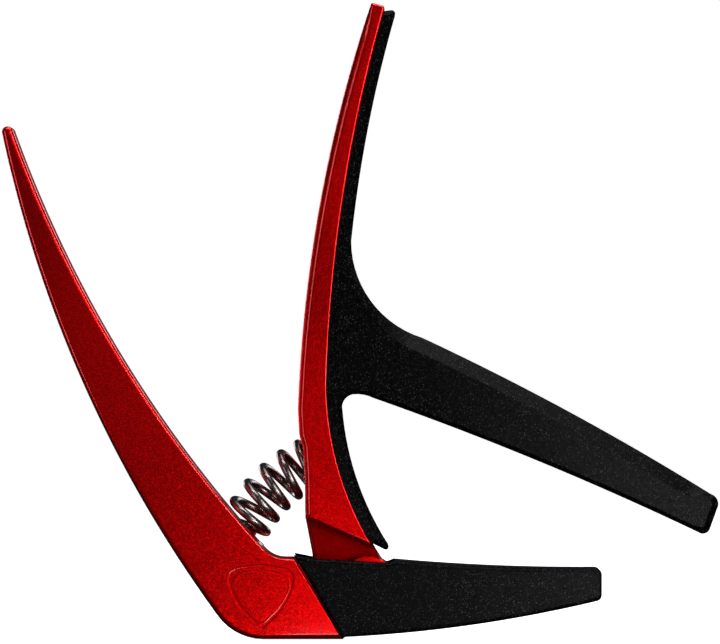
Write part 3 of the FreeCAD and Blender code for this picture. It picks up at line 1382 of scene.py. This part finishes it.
@dataclass
class Studio:
    """A white sweep, the lights and the camera, in metres."""

    middle: Vector
    distance: float = 1.3
    nearest_side: float = 0.0063
    eye_height: float = 0.0521
    view_width: float = 0.1182
    sweep_size: float = 12.0
    sweep_bend: float = 0.5
    wall_height: float = 3.0
    wall_shift: float = -1.8

    def build(self) -> None:
        """Sets up the whole studio."""
        self.backdrop()
        self.lights()
        self.camera()

    def backdrop(self) -> None:
        """A white floor that sweeps up into a wall behind the capo."""
        deselect_all()
        bpy.ops.mesh.primitive_plane_add(size=self.sweep_size, location=(0.0, 0.0, -0.0003))
        floor = bpy.context.active_object
        floor.name = "studio_sweep"
        bpy.ops.object.mode_set(mode="EDIT")
        bpy.ops.mesh.select_all(action="DESELECT")
        bpy.ops.object.mode_set(mode="OBJECT")
        for edge in floor.data.edges:
            ends = [floor.data.vertices[i].co for i in edge.vertices]
            edge.select = all(co.y > 0 for co in ends)
        bpy.ops.object.mode_set(mode="EDIT")
        bpy.ops.mesh.select_mode(type="EDGE")
        bpy.ops.transform.translate(value=(0.0, self.wall_shift, 0.0))
        bpy.ops.mesh.extrude_region_move(TRANSFORM_OT_translate={"value": (0.0, 0.0, self.wall_height)})
        bpy.ops.object.mode_set(mode="OBJECT")
        apply_modifier(floor, "BEVEL", width=self.sweep_bend, segments=16, limit_method="ANGLE")
        bpy.ops.object.shade_smooth_by_angle(angle=math.radians(40))
        mat, tree, shader = new_material("white_studio_paper")
        inputs = {
            "Base Color": colour("#fbfbfb"),
            "Roughness": 0.9,
            "Emission Color": colour("#ffffff"),
            "Emission Strength": 1.0,
        }
        set_inputs(tree, shader, inputs)
        dress(floor, mat)
        floor.visible_glossy = False
        floor.visible_diffuse = False
        floor.visible_shadow = False
        floor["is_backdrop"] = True

    def lights(self) -> None:
        """The soft boxes in front, above and behind, and a faint even light from all round."""
        for softbox in LIGHTS:
            softbox.light(self.middle)
        world = bpy.data.worlds.new("studio_air")
        world.use_nodes = True
        air = world.node_tree.nodes["Background"].inputs
        air["Color"].default_value = (0.9, 0.92, 1.0, 1.0)
        air["Strength"].default_value = 0.03
        bpy.context.scene.world = world

    def camera(self) -> None:
        """A long lens, level with the capo's middle and square to its side."""
        deselect_all()
        place = (0.0, -self.distance - self.nearest_side, self.eye_height)
        bpy.ops.object.camera_add(location=place, rotation=(math.pi / 2, 0.0, 0.0))
        camera = bpy.context.active_object
        camera.data.lens = camera.data.sensor_width * self.distance / self.view_width
        camera.data.clip_start = 0.01
        bpy.context.scene.camera = camera


def main() -> None:
    """Loads the frame, builds every piece round it and sets up the studio."""
    logging.basicConfig(level=logging.INFO, format="%(message)s")
    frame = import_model()
    cad_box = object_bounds()
    low, high = (Vector(c) for c in cad_box)
    hinge = next(j for j in frame["joints"] if j["name"] == "jaw_pivot")
    pivot = (hinge["pos_m"][0] / MM, hinge["pos_m"][2] / MM)
    enamel = FlakePaint().material()
    # A darker, duller red for the recessed knuckle faces, as painted shade in the recess.
    shaded_recess_enamel = FlakePaint("red_enamel_painted_shade", "#5c0001", "#8a0103", roughness=0.5, coat=0.1).material()
    pin_steel = BrightMetal("ground_steel_pin", "#b9bcc0", 0.25, 0.3, 0.01).material()
    dress_node(frame["nodes"]["pivot_pin"], pin_steel)
    nylon = NaturalNylon().material()
    for name in ("front_hub_bush", "rear_hub_bush"):
        dress_node(frame["nodes"][name], nylon)
    castings = (BodyCasting(pivot, enamel), LeverCasting(pivot, enamel, shaded_recess_enamel))
    for part in (*castings, StringBarRubber(), NeckRubber(), ReturnSpring(pivot)):
        piece = part.build()
        LOG.info("built %s with %d faces", piece.name, len(piece.data.polygons))
    Studio((low + high) / 2).build()
    bpy.context.scene.view_settings.view_transform = "Standard"


if __name__ == "__main__":
    main()
